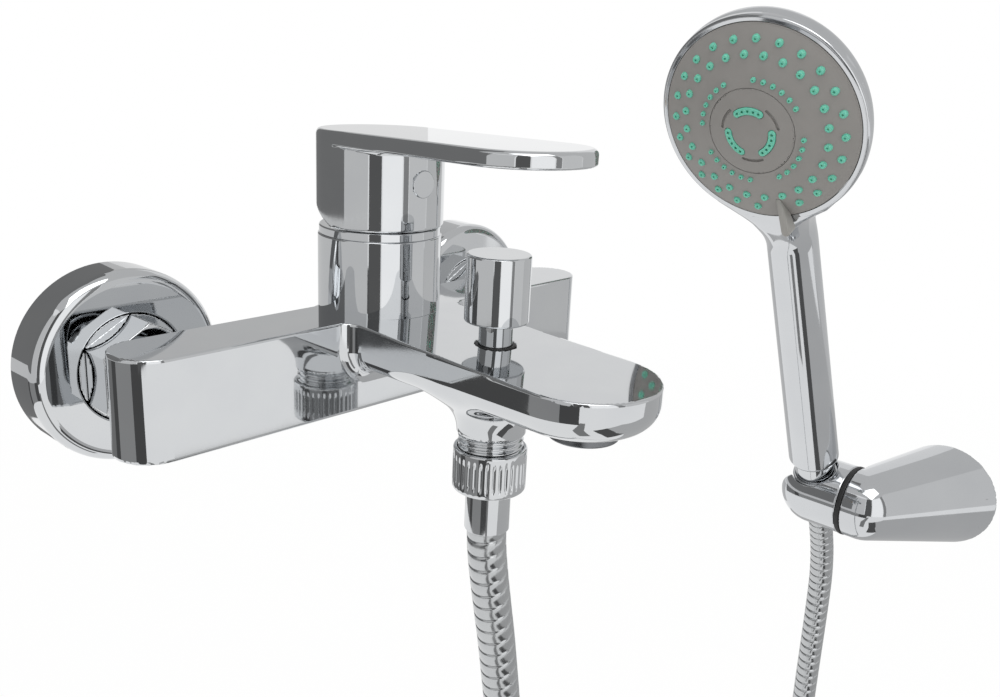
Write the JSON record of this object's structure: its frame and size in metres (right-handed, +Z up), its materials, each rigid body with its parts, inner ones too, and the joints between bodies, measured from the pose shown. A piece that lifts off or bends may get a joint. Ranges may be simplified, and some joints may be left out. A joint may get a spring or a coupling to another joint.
{
  "type": "bath shower mixer",
  "caption": "Wall-mounted single-lever bath mixer with a flat spout, a pull-up diverter, a ribbed hose and a hand shower in a tilting side-wall bracket.",
  "frame": {"origin": "on the finished wall, midway between the axes of the two inlet threads", "axes": "+X right along the bar as seen from the room, +Y into the wall, +Z up"},
  "size_m": [0.444, 0.1778, 0.6902],
  "materials": {
    "chrome_brass": "polished chrome plating on cast or turned brass",
    "chromed_abs": "polished chrome plating on moulded ABS",
    "steel_hose": "polished stainless strip, wound",
    "raw_brass": "turned, unplated",
    "stainless_steel": "turned or formed stainless steel",
    "white_acetal": "moulded",
    "alumina": "ground and lapped ceramic",
    "black_rubber": "moulded",
    "grey_face": "satin painted ABS",
    "teal_silicone": "moulded silicone",
    "dark_acetal": "moulded",
    "blue_acetal": "moulded"
  },
  "bodies": {
    "fixed": {"mixer_body": "chrome_brass", "tower_sleeve": "chrome_brass", "trim_ring": "chrome_brass", "retaining_nut": "raw_brass", "cartridge_base": "white_acetal", "cartridge_seals": "black_rubber", "cartridge_housing": "white_acetal", "fixed_disc": "alumina", "union_left": "raw_brass", "union_right": "raw_brass", "rosette_left": "chrome_brass", "rosette_right": "chrome_brass", "union_nut_left": "chrome_brass", "union_nut_right": "chrome_brass", "inlet_tail_left": "chrome_brass", "inlet_tail_right": "chrome_brass", "union_washers": "black_rubber", "stem_seal_ring": "black_rubber", "aerator_housing": "chrome_brass", "aerator_insert": "dark_acetal", "aerator_seal": "black_rubber", "outlet_nipple": "chrome_brass", "check_valve": "blue_acetal", "hose_nut": "chrome_brass", "hose_washer_lower": "black_rubber", "hose_ferrule_lower": "chrome_brass", "hose_lower": "steel_hose", "friction_ring": "black_rubber", "pivot_screw": "stainless_steel", "bracket_base": "chromed_abs", "bracket_plate": "white_acetal", "bracket_grub_screw": "stainless_steel"},
    "guide": {"stem_guide": "white_acetal", "stem_pin": "stainless_steel"},
    "lever": {"cartridge_stem": "stainless_steel", "lever_handle": "chrome_brass", "lever_grub_screw": "stainless_steel", "indicator_plug": "chrome_brass"},
    "disc": {"sliding_disc": "alumina"},
    "diverter": {"diverter_knob": "chrome_brass", "diverter_stem": "chrome_brass", "diverter_valve": "raw_brass", "diverter_seal": "black_rubber"},
    "cradle": {"cradle": "chromed_abs", "hose_upper": "steel_hose", "pivot_washer": "stainless_steel"},
    "hose_end": {"hose_ferrule_upper": "chrome_brass", "hose_washer_upper": "black_rubber", "cone_nut": "chrome_brass"},
    "shower": {"handset_shell": "chromed_abs", "handset_nipple": "chrome_brass", "water_tube": "white_acetal", "spray_distributor": "white_acetal", "face_screw": "stainless_steel"},
    "selector": {"spray_face": "grey_face", "nozzle_mat": "teal_silicone", "centre_disc": "grey_face", "centre_pads": "teal_silicone", "selector_fin": "grey_face"}
  },
  "joints": [
    {"name": "lever_swivel", "type": "hinge", "parent": "fixed", "child": "guide", "pos_m": [0, -0.0456, 0.042], "axis": [0, 0, 1], "range_deg": [-45, 45]},
    {"name": "lever_lift", "type": "hinge", "parent": "guide", "child": "lever", "pos_m": [0, -0.0456, 0.042], "axis": [-1, 0, 0], "range_deg": [0, 25]},
    {"name": "disc_slide", "type": "slide", "parent": "guide", "child": "disc", "axis": [0, -1, 0], "range_m": [0, 0.0076]},
    {"name": "diverter_pull", "type": "slide", "parent": "fixed", "child": "diverter", "axis": [0, 0, 1], "range_m": [0, 0.008]},
    {"name": "cradle_tilt", "type": "hinge", "parent": "fixed", "child": "cradle", "pos_m": [0.288, -0.085, -0.127], "axis": [0, 1, 0], "range_deg": [-20, 25], "deforming": ["hose_lower"]},
    {"name": "shower_lift", "type": "slide", "parent": "cradle", "child": "hose_end", "axis": [-0.4226, 0, 0.9063], "range_m": [0, 0.04], "deforming": ["hose_upper"]},
    {"name": "shower_spin", "type": "hinge", "parent": "hose_end", "child": "shower", "pos_m": [0.288, -0.085, -0.127], "axis": [-0.4226, 0, 0.9063], "continuous": true},
    {"name": "selector_turn", "type": "hinge", "parent": "shower", "child": "selector", "pos_m": [0.17246, -0.08665, 0.07602], "axis": [-0.9204, -0.0871, -0.3811], "range_deg": [-35, 15]}
  ],
  "couplings": [
    {"joint": "disc_slide", "follows": "lever_lift", "m_per_rad": 0.016853}
  ]
}
